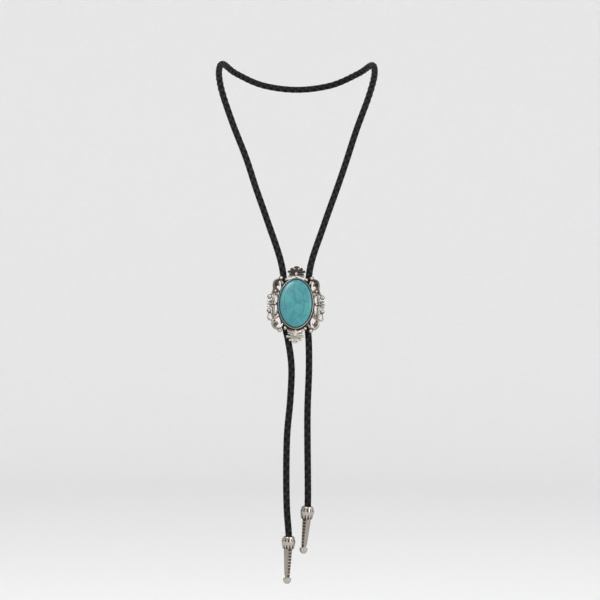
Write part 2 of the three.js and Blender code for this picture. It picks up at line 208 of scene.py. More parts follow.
# Depth in millimetres at which the tips' silver is dark, and how far their high places are rubbed
TIP_TARNISH = {"depth": 1.1, "ladder_depth": 0.5, "shaft_rubbed": 0.1, "ladder_rubbed": 0.35,
               "round_rubbed": 0.32}

# Studio in metres: a paper floor that bends up into a round wall, and lamps by place, size and watts
STUDIO = {"floor": -0.51, "flat": 2, "bend": 1, "height": 2, "bend_steps": 17, "sides": 96, "world": 0.8}
LAMPS = {"key": ((-0.7, -1.6, 1.5), 0.7, 28), "fill": ((1.6, -1.3, 0.5), 1.2, 18)}
LAMP_AIM = Vector((0, -0.17, -0.19))


class Nodes:
    """Adds nodes to a tree. Each input is given by name or number, as a socket to link or a value to set."""

    def __init__(self, tree):
        self.tree = tree

    def add(self, kind, inputs=None, **settings):
        node = self.tree.nodes.new(kind)
        for key, value in settings.items():
            setattr(node, key, value)
        self.feed(node, inputs or {})
        return node

    def feed(self, node, inputs):
        """Links or sets inputs of a node."""
        for key, value in inputs.items():
            if isinstance(value, bpy.types.NodeSocket):
                self.tree.links.new(value, node.inputs[key])
            else:
                node.inputs[key].default_value = value

    def math(self, operation, *values, clamp=False):
        node = self.add("ShaderNodeMath", dict(enumerate(values)), operation=operation, use_clamp=clamp)
        return node.outputs[0]

    def vector(self, operation, *values):
        node = self.add("ShaderNodeVectorMath", dict(enumerate(values)), operation=operation)
        return node.outputs["Value" if operation in ("DOT_PRODUCT", "LENGTH") else "Vector"]

    def scaled(self, vector, factor):
        node = self.add("ShaderNodeVectorMath", {"Vector": vector, "Scale": factor}, operation="SCALE")
        return node.outputs["Vector"]

    def noise(self, place, scale, detail, output="Fac"):
        node = self.add("ShaderNodeTexNoise", {"Vector": place, "Scale": scale, "Detail": detail})
        return node.outputs[output]

    def cell_edge(self, place, scale):
        """Distance to the nearest edge in a net of cells."""
        node = self.add("ShaderNodeTexVoronoi", {
            "Vector": place, "Scale": scale}, feature="DISTANCE_TO_EDGE")
        return node.outputs["Distance"]

    def ramp(self, value, first, last, to_first=0, to_last=1, curve="LINEAR"):
        """A value carried from one range to another and held at its ends."""
        node = self.add("ShaderNodeMapRange", {
            "Value": value, "From Min": first, "From Max": last, "To Min": to_first, "To Max": to_last},
            interpolation_type=curve)
        return node.outputs[0]

    def mix(self, share, first, second):
        node = self.add("ShaderNodeMix", {"Factor": share, "A": first, "B": second}, data_type="RGBA")
        return node.outputs["Result"]

    def bump(self, height, strength, depth):
        node = self.add("ShaderNodeBump", {"Height": height, "Strength": strength, "Distance": depth})
        return node.outputs[0]


SOCKETS = {float: "NodeSocketFloat", int: "NodeSocketInt", tuple: "NodeSocketVector",
           bpy.types.Material: "NodeSocketMaterial"}


def new_tree(name, values):
    """A geometry tree with a geometry input and one named input for each value."""
    tree = bpy.data.node_groups.new(name, "GeometryNodeTree")
    tree.interface.new_socket("Geometry", in_out="INPUT", socket_type="NodeSocketGeometry")
    for label, value in values.items():
        tree.interface.new_socket(label, in_out="INPUT", socket_type=SOCKETS[type(value)])
    tree.interface.new_socket("Geometry", in_out="OUTPUT", socket_type="NodeSocketGeometry")
    nodes = Nodes(tree)
    return nodes, nodes.add("NodeGroupInput").outputs


def end_tree(nodes, geometry, material):
    smooth = nodes.add("GeometryNodeSetShadeSmooth", {"Geometry": geometry})
    real = nodes.add("GeometryNodeRealizeInstances", {"Geometry": smooth.outputs[0]})
    dressed = nodes.add("GeometryNodeSetMaterial", {"Geometry": real.outputs[0], "Material": material})
    nodes.add("NodeGroupOutput", {"Geometry": dressed.outputs[0]})
    return nodes.tree


def plain_mesh(obj):
    """The object's evaluated mesh. The object itself is removed."""
    made = bpy.data.meshes.new_from_object(obj.evaluated_get(bpy.context.evaluated_depsgraph_get()))
    bpy.data.objects.remove(obj)
    return made


def shown(name, mesh):
    obj = bpy.data.objects.new(name, mesh)
    scene.collection.objects.link(obj)
    return obj


def grown(build_tree, mesh, values):
    """The mesh that a geometry tree makes of a mesh, with the tree's named inputs set."""
    obj = shown(build_tree.__name__, mesh)
    tree = build_tree(values)
    modifier = obj.modifiers.new(tree.name, "NODES")
    modifier.node_group = tree
    for label, value in values.items():
        modifier[tree.interface.items_tree[label].identifier] = value
    return plain_mesh(obj)


def finished(name, mesh, node, material):
    """Shows a mesh as the piece that stands for a node of the frame."""
    mesh.materials.clear()
    mesh.materials.append(material)
    piece = shown(name, mesh)
    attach(piece, "root")
    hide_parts(node)


def smooth_path(points, per_span):
    """Points along a centripetal Catmull-Rom curve through the given points."""
    knots = np.array(points, float)
    knots = np.vstack([2 * knots[0] - knots[1], knots, 2 * knots[-1] - knots[-2]])
    path = []
    for p0, p1, p2, p3 in zip(knots, knots[1:], knots[2:], knots[3:]):
        d0, d1, d2 = (math.sqrt(np.linalg.norm(b - a)) for a, b in ((p0, p1), (p1, p2), (p2, p3)))
        leave = ((p1 - p0) / d0 - (p2 - p0) / (d0 + d1) + (p2 - p1) / d1) * d1
        arrive = ((p2 - p1) / d1 - (p3 - p1) / (d1 + d2) + (p3 - p2) / d2) * d1
        for t in np.arange(per_span) / per_span:
            square = 3 * (p2 - p1) - 2 * leave - arrive
            cube = 2 * (p1 - p2) + leave + arrive
            path.append(p1 + t * leave + t**2 * square + t**3 * cube)
    path.append(knots[-2])
    return np.array(path)


def path_mesh(name, strokes):
    """A mesh of open runs of edges, one for each stroke's points, with the thickness at each point."""
    places, edges, thickness = [], [], []
    for points, radii in strokes:
        start = len(places)
        places += [tuple(p) for p in points]
        edges += [(i, i + 1) for i in range(start, len(places) - 1)]
        thickness += list(radii)
    mesh = bpy.data.meshes.new(name)
    mesh.from_pydata(places, edges, [])
    mesh.attributes.new("thickness", "FLOAT", "POINT").data.foreach_set("value", thickness)
    return mesh


def faced_out(mesh, merge=0):
    """The mesh with its faces turned outwards, after points nearer than the merge distance become one."""
    shape = bmesh.new()
    shape.from_mesh(mesh)
    if merge:
        bmesh.ops.remove_doubles(shape, verts=shape.verts, dist=merge)
    bmesh.ops.recalc_face_normals(shape, faces=shape.faces)
    shape.to_mesh(mesh)
    shape.free()
    return mesh


def moved(mesh, matrix):
    mesh.transform(matrix)
    return mesh


def make_camera():
    camera = bpy.data.cameras.new("photo_view")
    camera.lens = CAMERA_LENS
    obj = bpy.data.objects.new("photo_view", camera)
    obj.location = CAMERA_PLACE
    obj.rotation_euler = (math.pi / 2, 0, 0)
    scene.collection.objects.link(obj)
    scene.camera = obj


def wound_laces(nodes, given, path):
    """Paths of the laces round a path, with each point's way out, length so far and height in the weave."""
    laces = nodes.add("GeometryNodeDuplicateElements", {
        "Geometry": path, "Amount": BRAID["laces"]}, domain="SPLINE")
    index = laces.outputs["Duplicate Index"]
    way = nodes.math("SUBTRACT", 1, nodes.math("MULTIPLY", 2, nodes.math("MODULO", index, 2)))
    opposite = nodes.math("MULTIPLY", math.pi, nodes.math("FLOOR", nodes.math("DIVIDE", index, 2)))
    along = nodes.add("GeometryNodeSplineParameter").outputs["Length"]
    turn = nodes.math("MULTIPLY", 2 * math.pi, nodes.math("DIVIDE", along, given["Lay"]))
    angle = nodes.math("ADD", nodes.math("MULTIPLY_ADD", way, turn, opposite), given["Row Turn"])
    over = nodes.math("MULTIPLY", way, nodes.math("COSINE", nodes.math("MULTIPLY", turn, 2)))
    tangent = nodes.add("GeometryNodeInputTangent").outputs[0]
    stored = nodes.add("GeometryNodeInputNamedAttribute", {"Name": "face"}, data_type="FLOAT_VECTOR")
    face = stored.outputs["Attribute"]
    lengthwise = nodes.scaled(tangent, nodes.vector("DOT_PRODUCT", tangent, face))
    side = nodes.vector("NORMALIZE", nodes.vector("SUBTRACT", face, lengthwise))
    across = nodes.vector("CROSS_PRODUCT", tangent, side)
    outward = nodes.vector("ADD", nodes.scaled(side, nodes.math("COSINE", angle)),
                           nodes.scaled(across, nodes.math("SINE", angle)))
    kept = nodes.add("GeometryNodeCaptureAttribute", {"Geometry": laces.outputs[0]})
    for kind, label, value in (
            ("VECTOR", "outward", outward), ("FLOAT", "along", along), ("FLOAT", "over", over)):
        kept.capture_items.new(kind, label)
        nodes.tree.links.new(value, kept.inputs[label])
    reach = nodes.math("MULTIPLY_ADD", kept.outputs["over"], given["Weave"], given["Orbit"])
    wound = nodes.add("GeometryNodeSetPosition", {
        "Geometry": kept.outputs[0], "Offset": nodes.scaled(kept.outputs["outward"], reach)})
    facing = nodes.add("GeometryNodeSetCurveNormal", {
        "Curve": wound.outputs[0], "Normal": kept.outputs["outward"]}, mode="FREE")
    return facing.outputs[0], kept.outputs


def lace_section(nodes, given):
    """Section of a flat lace, bent round the cord, and the place of each of its points before the bend."""
    circle = nodes.add("GeometryNodeCurvePrimitiveCircle", {"Resolution": LACE["sides"], "Radius": 0.5})
    round_place = nodes.add("GeometryNodeInputPosition").outputs[0]
    thick = nodes.add("ShaderNodeSeparateXYZ", {"Vector": round_place}).outputs["X"]
    share = nodes.math("MULTIPLY", nodes.math("ABSOLUTE", thick), 2)
    gain = nodes.math("SUBTRACT", nodes.math("POWER", share, LACE["blunt"]), share)
    blunt = nodes.math("MULTIPLY", nodes.math("SIGN", thick), nodes.math("DIVIDE", gain, 2))
    outer = nodes.add("ShaderNodeCombineXYZ", {"X": blunt})
    full = nodes.add("GeometryNodeSetPosition", {
        "Geometry": circle.outputs["Curve"], "Offset": outer.outputs[0]})
    section = nodes.add("GeometryNodeTransform", {"Geometry": full.outputs[0], "Scale": given["Section"]})
    shape = nodes.add("GeometryNodeCaptureAttribute", {"Geometry": section.outputs[0]})
    shape.capture_items.new("VECTOR", "place")
    nodes.tree.links.new(nodes.add("GeometryNodeInputPosition").outputs[0], shape.inputs["place"])
    off_middle = nodes.add("ShaderNodeSeparateXYZ", {"Vector": shape.outputs["place"]}).outputs["Y"]
    sag = nodes.math("DIVIDE", nodes.math("MULTIPLY", off_middle, off_middle), given["Bend"])
    inward = nodes.add("ShaderNodeCombineXYZ", {"X": nodes.math("MULTIPLY", sag, -0.5)})
    curled = nodes.add("GeometryNodeSetPosition", {
        "Geometry": shape.outputs[0], "Offset": inward.outputs[0]})
    return curled.outputs[0], shape.outputs["place"]


def braid(values):
    """Four flat laces round a path: two wind each way, and each goes over and under the others in turn."""
    nodes, given = new_tree("Braid", values)
    path = nodes.add("GeometryNodeMeshToCurve", {"Mesh": given["Geometry"]})
    even = nodes.add("GeometryNodeResampleCurve", {
        "Curve": path.outputs[0], "Length": given["Step"]}, mode="LENGTH")
    laces, kept = wound_laces(nodes, given, even.outputs[0])
    section, place = lace_section(nodes, given)
    swept = nodes.add("GeometryNodeCurveToMesh", {
        "Curve": laces, "Profile Curve": section, "Fill Caps": True})
    inside = nodes.add("GeometryNodeCurvePrimitiveCircle", {
        "Resolution": CORE["sides"], "Radius": given["Core"]})
    core = nodes.add("GeometryNodeCurveToMesh", {
        "Curve": even.outputs[0], "Profile Curve": inside.outputs["Curve"], "Fill Caps": True})
    length_way = nodes.add("ShaderNodeCombineXYZ", {"Z": kept["along"]})
    lace = nodes.vector("ADD", place, length_way.outputs[0])
    marked = swept
    for label, kind, value in (("lace", "FLOAT_VECTOR", lace), ("over", "FLOAT", kept["over"])):
        marked = nodes.add("GeometryNodeStoreNamedAttribute", {
            "Geometry": marked.outputs[0], "Name": label}, data_type=kind, domain="POINT")
        nodes.tree.links.new(value, marked.inputs["Value"])
    whole = nodes.add("GeometryNodeJoinGeometry")
    for part in (marked, core):
        nodes.tree.links.new(part.outputs[0], whole.inputs[0])
    return end_tree(nodes, whole.outputs[0], given["Material"])


def strokes(values):
    """A flattened round bar along each path, as thick as the path says."""
    nodes, given = new_tree("Strokes", values)
    path = nodes.add("GeometryNodeMeshToCurve", {"Mesh": given["Geometry"]})
    facing = nodes.add("GeometryNodeSetCurveNormal", {"Curve": path.outputs[0], "Normal": given["Face"]},
                       mode="FREE")
    circle = nodes.add("GeometryNodeCurvePrimitiveCircle", {"Resolution": given["Sides"], "Radius": 1})
    flat = nodes.add("ShaderNodeCombineXYZ", {"X": given["Flatten"], "Y": 1, "Z": 1})
    section = nodes.add("GeometryNodeTransform", {
        "Geometry": circle.outputs["Curve"], "Scale": flat.outputs[0]})
    thickness = nodes.add("GeometryNodeInputNamedAttribute", {"Name": "thickness"}, data_type="FLOAT")
    swept = nodes.add("GeometryNodeCurveToMesh", {
        "Curve": facing.outputs[0], "Profile Curve": section.outputs[0],
        "Scale": thickness.outputs["Attribute"], "Fill Caps": True})
    return end_tree(nodes, swept.outputs[0], given["Material"])


def balls(values):
    """A ball on each point, as large as the point says."""
    nodes, given = new_tree("Balls", values)
    ball = nodes.add("GeometryNodeMeshIcoSphere", {"Radius": 1, "Subdivisions": given["Fineness"]})
    size = nodes.add("GeometryNodeInputNamedAttribute", {"Name": "thickness"}, data_type="FLOAT")
    placed = nodes.add("GeometryNodeInstanceOnPoints", {
        "Points": given["Geometry"], "Instance": ball.outputs["Mesh"], "Scale": size.outputs["Attribute"]})
    return end_tree(nodes, placed.outputs[0], given["Material"])


def ringed(values):
    """Copies of a piece set round the Z axis."""
    nodes, given = new_tree("Ring", values)
    spots = nodes.add("GeometryNodePoints", {"Count": given["Count"]})
    pitch = nodes.math("DIVIDE", 2 * math.pi, given["Count"])
    angle = nodes.math("MULTIPLY", nodes.add("GeometryNodeInputIndex").outputs[0], pitch)
    turn = nodes.add("ShaderNodeCombineXYZ", {"Z": angle})
    facing = nodes.add("FunctionNodeEulerToRotation", {"Euler": turn.outputs[0]})
    placed = nodes.add("GeometryNodeInstanceOnPoints", {
        "Points": spots.outputs[0], "Instance": given["Geometry"], "Rotation": facing.outputs[0]})
    return end_tree(nodes, placed.outputs[0], given["Material"])


def joined(name, meshes):
    """One mesh of several, each left as it is."""
    shape = bmesh.new()
    for mesh in meshes:
        shape.from_mesh(mesh)
    whole = bpy.data.meshes.new(name)
    shape.to_mesh(whole)
    shape.free()
    return whole


def cast(name, solids, grain):
    """Overlapping solids melted into one skin with softened creases. Grain is the size of its faces."""
    obj = shown(name, joined(name, solids))
    skin = obj.modifiers.new("skin", "REMESH")
    skin.mode = "VOXEL"
    skin.voxel_size = grain
    skin.use_smooth_shade = True
    soft = obj.modifiers.new("soft", "SMOOTH")
    soft.factor = SOFTEN["share"]
    soft.iterations = SOFTEN["times"]
    return plain_mesh(obj)


def cut(name, body, cutters):
    """A solid less the cutters."""
    knife = shown(name + "_cutter", cutters)
    obj = shown(name, body)
    less = obj.modifiers.new("less", "BOOLEAN")
    less.operation = "DIFFERENCE"
    less.solver = "EXACT"
    less.use_self = True
    less.object = knife
    rest = plain_mesh(obj)
    bpy.data.objects.remove(knife)
    return rest


def below_mean(across, along, height, reach):
    """How far each point lies below the mean height of the surface in a square of that reach round it."""
    span = 3
    step = reach / span
    column, row = (((place - place.min()) / step).astype(int) for place in (across, along))
    level = np.zeros((column.max() + 1, row.max() + 1))
    np.maximum.at(level, (column, row), height)
    for axis in (0, 1):
        rim = [(span, span) if k == axis else (0, 0) for k in (0, 1)]
        padded = np.pad(level, rim)
        shifts = [np.take(padded, range(k, k + level.shape[axis]), axis) for k in range(2 * span + 1)]
        level = sum(shifts) / len(shifts)
    return level[column, row] - height


def store_patina_and_light(mesh, patina_and_painted_light):
    """Stores how dark each point's silver is: 1 in a deep recess of patina or in painted shade, 0 on plain
    faces, -1 on rubbed high places and painted highlights.
    """
    mesh.attributes.new("patina_and_painted_light", "FLOAT", "POINT").data.foreach_set("value", np.clip(patina_and_painted_light, -1, 1))


def points_of(mesh):
    places = np.empty(len(mesh.vertices) * 3)
    mesh.vertices.foreach_get("co", places)
    return places.reshape(-1, 3)


def normals_of(mesh):
    normals = np.empty(len(mesh.vertices) * 3)
    mesh.vertex_normals.foreach_get("vector", normals)
    return normals.reshape(-1, 3)


def rings(name, rows):
    """A closed mesh of rings of points, from a first point on the axis to a last one."""
    places, faces = [tuple(rows[0][0])], []
    count = len(rows[1])
    for row in rows[1:-1]:
        places += [tuple(p) for p in row]
    places.append(tuple(rows[-1][0]))
    last = len(places) - 1
    for i in range(count):
        j = (i + 1) % count
        faces.append((0, 1 + j, 1 + i))
        for start in range(1, last - count, count):
            faces.append((start + i, start + j, start + count + j, start + count + i))
        faces.append((last, last - count + i, last - count + j))
    mesh = bpy.data.meshes.new(name)
    mesh.from_pydata(places, [], faces)
    faced_out(mesh)
    mesh.shade_smooth()
    return mesh


def lathe(name, profile, sides):
    """A solid turned about Z from radius against distance down, in millimetres."""
    angles = np.arange(sides) / sides * 2 * math.pi
    rows = []
    for radius, down in profile:
        ring = np.column_stack([radius * np.sin(angles), -radius * np.cos(angles), np.full(sides, -down)])
        rows.append(ring * MM)
    return rings(name, rows)


def oval(name, profile, sides):
    """A solid of rings shaped like the stone's outline: share of it, offset outside it and height."""
    angles = np.arange(sides) / sides * 2 * math.pi
    outline = np.column_stack([STONE_HALF[0] * np.cos(angles), STONE_HALF[1] * np.sin(angles)])
    normal = np.column_stack([STONE_HALF[1] * np.cos(angles), STONE_HALF[0] * np.sin(angles)])
    normal /= np.linalg.norm(normal, axis=1)[:, None]
    rows = []
    for share, offset, height in profile:
        plan = share * outline + offset * MM * normal - (0, STONE_LOW)
        rows.append(np.column_stack([plan, np.full(sides, height * MM)]))
    return rings(name, rows)


def on_dome(points, lift):
    """Places in metres of points of the slide's plane in millimetres, lowered where the ends bend back."""
    u, v = np.array(points, float).T * MM
    return np.column_stack([u, v, lift - np.maximum(0, np.abs(v) - DOME_FROM) * math.tan(DOME_ANGLE)])


def wire_stroke(wire, kind, side, end):
    """A wire that thins towards its round ends."""
    radius, points = wire
    path = smooth_path(on_dome([(side * u, end * v) for u, v in points], LIFT[kind]), WIRE["steps"])
    share = np.linspace(-1, 1, len(path))
    thinned = 1 - WIRE["thin"] * share ** WIRE["thin_power"]
    closed = np.sqrt(1 - WIRE["close"] * share ** WIRE["close_power"])
    return path, radius * MM * thinned * closed


def drop_stroke(drop, kind, side, end):
    """A drop with round ends and a slight belly."""
    u, v, r, u2, v2, r2 = drop
    start, finish = on_dome([(side * u, end * v), (side * u2, end * v2)], LIFT[kind])
    length = np.linalg.norm(finish - start) / MM
    spread = (1 - np.cos(np.linspace(DROP["first"], DROP["last"], DROP["steps"]) * math.pi)) / 2
    down = -r + (length + r + r2) * spread
    share = np.clip(down / length, 0, 1)
    over = np.maximum(0, np.maximum(-down / r, (down - length) / r2))
    full = r + (r2 - r) * share + DROP["belly"] * np.sin(math.pi * share)
    radii = full * np.sqrt(np.maximum(0, 1 - over**2))
    return start + np.outer(down / length, finish - start), radii * MM


def slide_patina_and_light(places, normals):
    """Patina dark in the hollows, painted shade on the flanks, over the upper flower and on the upper
    scrolls, painted highlights on the balls, the lower flower and the flower beads, and an even patina on
    the back.
    """
    u, v, w = places.T
    past = np.abs(v) - DOME_FROM
    bend = np.where(past > 0, np.sign(v) * DOME_ANGLE, 0)
    facing = normals[:, 2] * np.cos(bend) + normals[:, 1] * np.sin(bend)
    level = w + np.maximum(0, past) * math.tan(DOME_ANGLE)
    patina_and_painted_light = np.clip(below_mean(u, v, level, PATINA_AND_PAINTED_LIGHT["reach"]) / PATINA_AND_PAINTED_LIGHT["depth"], -PATINA_AND_PAINTED_LIGHT["rubbed"], 1)
    # Painted shade: faces that turn sideways from the slide's front are painted darker
    patina_and_painted_light += PATINA_AND_PAINTED_LIGHT["flank_shade"] * np.interp(facing, PATINA_AND_PAINTED_LIGHT["flank_shade_facing"], (1, 0))
    # Painted shade over the upper flower and painted highlight on the lower flower
    flower = np.where(v > 0, PATINA_AND_PAINTED_LIGHT["upper_flower_shade"], PATINA_AND_PAINTED_LIGHT["lower_flower_highlight"])
    patina_and_painted_light += flower * np.clip(past / MM + 1, 0, 1)
    # Painted shade on the upper scrolls
    scroll_u, scroll_v = (np.clip((place - start) / MM, 0, 1)
                          for place, start in zip((np.abs(u), v), PATINA_AND_PAINTED_LIGHT["scroll_from"]))
    patina_and_painted_light += PATINA_AND_PAINTED_LIGHT["upper_scroll"] * scroll_u * scroll_v
    # Painted highlight on the balls, with the rest of the ornament a little darker
    on_ball = np.zeros(len(u), bool)
    for ball_u, ball_v, ball_r in np.array(list(BALLS.values())) * MM:
        on_ball |= np.hypot(np.abs(u) - ball_u, v - ball_v) < ball_r
    patina_and_painted_light += np.where(on_ball, PATINA_AND_PAINTED_LIGHT["ball"], PATINA_AND_PAINTED_LIGHT["bar"])
    # Painted highlight on the bead in each flower's heart
    off_bead = np.hypot(u, np.abs(v) - PATINA_AND_PAINTED_LIGHT["bead_at"]) / PATINA_AND_PAINTED_LIGHT["bead_size"]
    patina_and_painted_light -= PATINA_AND_PAINTED_LIGHT["bead_highlight"] * np.exp(-off_bead**2)
    return np.where(normals[:, 2] < 0, PATINA_AND_PAINTED_LIGHT["back"], patina_and_painted_light)


def openwork(silver):
    """The slide's ornament as one casting of bars, webs and balls."""
    lines, webs, beads = [], [], []
    for side in (1, -1):
        lines += [wire_stroke(wire, "wire", side, 1) for wire in WIRES.values()]
        lines += [drop_stroke(drop, "drop", side, 1) for drop in DROPS.values()]
        webs += [drop_stroke(drop, "web", side, 1) for drop in WEBS.values()]
        for u, v, r in np.array(list(BALLS.values())) * MM:
            beads.append(((side * u, v, r + LIFT["ball_clear"]), r))
        for end in (1, -1):
            lines += [drop_stroke(drop, "flower", side, end) for drop in FLOWER.values()]
    for end in (1, -1):
        lines += [drop_stroke(drop, "flower", 1, end) for drop in FLOWER_MIDDLE.values()]
        lines.append(wire_stroke(SCALLOP, "flower", 1, end))
    solids = []
    for name, runs, flatten in (("slide_bars", lines, "bar"), ("slide_webs", webs, "web")):
        solids.append(grown(strokes, path_mesh(name, runs), {
            "Face": (0.0, 0.0, 1.0), "Flatten": FLATTEN[flatten], "Sides": BAR_SIDES, "Material": silver}))
    spots = path_mesh("slide_beads", [([place], [radius]) for place, radius in beads])
    solids.append(grown(balls, spots, {"Fineness": BALL_FINENESS, "Material": silver}))
    ornament = cast("openwork", solids, GRAIN["slide"])
    store_patina_and_light(ornament, slide_patina_and_light(points_of(ornament), normals_of(ornament)))
    return ornament


def bezel_cup():
    cup = oval("bezel_cup", [row[:3] for row in CUP_PROFILE], CUP_SIDES)
    tarnish = [CUP_PROFILE[0][3]]
    tarnish += [row[3] for row in CUP_PROFILE[1:-1] for _ in range(CUP_SIDES)]
    tarnish.append(CUP_PROFILE[-1][3])
    store_patina_and_light(cup, tarnish)
    return cup


def make_slide(silver):
    whole = moved(joined("cast_slide", [openwork(silver), bezel_cup()]), SLIDE_FRAME)
    finished("cast_slide", whole, "slide_frame", silver)


def make_stone():
    profile = [(0, 0, STONE_PROFILE[0][1])]
    profile += [(share, 0, height) for share, height in smooth_path(STONE_PROFILE, STONE_STEPS)[1:-1]]
    profile.append((0, 0, STONE_PROFILE[-1][1]))
    mesh = moved(oval("cabochon", profile, STONE_SIDES), SLIDE_FRAME)
    finished("cabochon", mesh, "stone", turquoise())


def make_clip():
    """Two tubes and the plate between them, drawn out from one outline with two bores."""
    tube = BORE_R + CLIP["wall"]
    axis = -FIT_GAP - tube
    half = CLIP["spacing"] / 2
    meet = math.asin((tube - CLIP["plate"]) / tube)

    def arc(centre, radius, first, last):
        angles = np.linspace(first, last, CLIP["arc_steps"])
        return np.column_stack([centre + radius * np.cos(angles), axis + radius * np.sin(angles)])

    outline = np.vstack([arc(half, tube, math.pi / 2, -math.pi - meet),
                         arc(-half, tube, meet, math.pi / 2 - 2 * math.pi)])
    nearly_round = 2 * math.pi * (1 - 1 / CLIP["arc_steps"])
    bores = [arc(side * half, BORE_R, 0, nearly_round) for side in (1, -1)]
    section = bpy.data.curves.new("clip_section", "CURVE")
    section.dimensions = "2D"
    section.fill_mode = "BOTH"
    section.extrude = CLIP["height"] / 2 - EDGE_ROUND
    section.bevel_depth = EDGE_ROUND
    section.bevel_resolution = EDGE_STEPS
    section.offset = -EDGE_ROUND
    for loop in (outline, *bores):
        spline = section.splines.new("POLY")
        spline.points.add(len(loop) - 1)
        places = np.column_stack([loop, np.zeros(len(loop)), np.ones(len(loop))])
        spline.points.foreach_set("co", places.ravel())
        spline.use_cyclic_u = True
    mesh = faced_out(plain_mesh(shown("clip_section", section)), MERGE)
    upright = Matrix.Rotation(math.pi / 2, 4, "X")
    finished("back_clip", moved(mesh, SLIDE_FRAME @ upright), "cord_clip", clip_steel())


def crown_cutter():
    """Cutters for the slot in one petal and for the notch beside the tooth below it."""
    outside = -CROWN["cut_from"]
    floor = -CROWN["slot_floor"]
    half = CROWN["slot_width"] / 2
    slot_places = [(x, y, -z) for z in (CROWN["slot_from"], CROWN["slot_to"]) for x, y in (
        (-half, outside), (half, outside), (half, floor), (-half, floor))]
    box = [(0, 1, 2, 3), (7, 6, 5, 4), (0, 4, 5, 1), (1, 5, 6, 2), (2, 6, 7, 3), (3, 7, 4, 0)]
    slot = bpy.data.meshes.new("slot")
    slot.from_pydata([tuple(np.array(p) * MM) for p in slot_places], [], box)
    wide = CROWN["notch_width"] / 2
    notch_places = [(x, y, -z) for y in (outside, -CROWN["notch_floor"]) for x, z in (
        (0, CROWN["notch_top"]), (wide, CROWN["notch_end"]), (-wide, CROWN["notch_end"]))]
    wedge = [(0, 2, 1), (3, 4, 5), (0, 1, 4, 3), (1, 2, 5, 4), (2, 0, 3, 5)]
    notch = bpy.data.meshes.new("notch")
    notch.from_pydata([tuple(np.array(p) * MM) for p in notch_places], [], wedge)
    notch.transform(Matrix.Rotation(math.pi / CROWN["petals"], 4, "Z"))
    return faced_out(joined("crown_cutter", [slot, notch]))


def ladder_strokes():
    """Two rails and the rungs between them, up one face of the six-sided shaft."""
    (_, top), (top_r, _), (end_r, end), _ = TIP_SHAFT
    lines = []

    def on_face(across, down):
        corner = top_r + (end_r - top_r) * (down - top) / (end - top)
        flat = corner * math.cos(math.pi / TIP_SIDES["shaft"]) + LADDER["lift"]
        return np.array([across * corner / 2, -flat, -down]) * MM

    for across in (RAIL["across"], -RAIL["across"]):
        rail = [on_face(across, down) for down in np.linspace(RAIL["from"], RAIL["to"], RAIL["steps"])]
        lines.append((rail, np.full(len(rail), RAIL["radius"] * MM)))
    rung_across = np.linspace(-RAIL["across"], RAIL["across"], LADDER["steps"])
    for down in np.linspace(LADDER["from"], LADDER["to"], LADDER["rungs"]):
        rung = [on_face(across, down) for across in rung_across]
        lines.append((rung, np.full(len(rung), LADDER["radius"] * MM)))
    return lines


def tip_recess(places):
    """Depth below the plain outside of the tip, whose ladder faces count from the tops of their rungs."""
    x, y, z = places.T / MM
    face = 2 * math.pi / TIP_SIDES["shaft"]
    off_face = np.mod(np.arctan2(x, -y), face) - face / 2
    on_ladder = np.mod(np.arctan2(x, -y), 2 * face) > face
    (_, top), (top_r, _), (end_r, end), _ = TIP_SHAFT
    flat = np.interp(-z, [top, end], [top_r, end_r]) * math.cos(face / 2)
    flat = flat + on_ladder * (LADDER["lift"] + LADDER["radius"])
    crown, bun = (np.interp(-z, [down for _, down in rows], [r for r, _ in rows])
                  for rows in (CROWN_OUTSIDE, BUN_OUTSIDE))
    crown_end = CROWN_OUTSIDE[-1][1]
    level = np.where(-z < crown_end, crown, np.where(-z < end, flat / np.cos(off_face), bun))
    on_shaft = (-z > crown_end) & (-z < end)
    below = level - np.hypot(x, y)
    flat_recess = below / TIP_TARNISH["depth"] - TIP_TARNISH["shaft_rubbed"]
    ladder_recess = below / TIP_TARNISH["ladder_depth"] - TIP_TARNISH["ladder_rubbed"]
    round_recess = below / TIP_TARNISH["depth"] - TIP_TARNISH["round_rubbed"]
    return np.where(on_shaft, np.where(on_ladder, ladder_recess, flat_recess), round_recess)


def make_tips(silver):
    knives = grown(ringed, crown_cutter(), {"Count": CROWN["petals"], "Material": silver})
    crown = cut("tip_crown", lathe("tip_crown", TIP_CROWN, TIP_SIDES["crown"]), knives)
    shaft = lathe("tip_shaft", TIP_SHAFT, TIP_SIDES["shaft"])
    bun = lathe("tip_bun", TIP_BUN, TIP_SIDES["bun"])
    ladder = grown(strokes, path_mesh("tip_ladder", ladder_strokes()), {
        "Face": (0.0, -1.0, 0.0), "Flatten": 1.0, "Sides": LADDER["sides"], "Material": silver})
    ladder.transform(Matrix.Rotation(-math.pi / TIP_SIDES["shaft"], 4, "Z"))
    ladders = grown(ringed, ladder, {"Count": LADDER["faces"], "Material": silver})
    tip = cast("tip", [crown, shaft, bun, ladders], GRAIN["tip"])
    store_patina_and_light(tip, tip_recess(points_of(tip)))
    for node, (mouth, swing, turn) in TIPS.items():
        place = (Matrix.Translation(mouth) @ Matrix.Rotation(math.radians(swing), 4, "Y")
                 @ Matrix.Rotation(math.radians(turn), 4, "Z"))
        finished("cast_" + node, moved(tip.copy(), place), node, silver)


def braid_faces(path):
    """Which way the braid shows its two rows: forwards on the hanging runs, outwards round the neck."""
    outward = np.column_stack([path[:, :2] - BRAID_FACE["neck"], np.zeros(len(path))])
    outward /= np.linalg.norm(outward, axis=1)[:, None]
    front = np.interp(path[:, 1], (BRAID_FACE["front"], BRAID_FACE["side"]), (1, 0))[:, None]
    return front * (0, -1, 0) + (1 - front) * outward


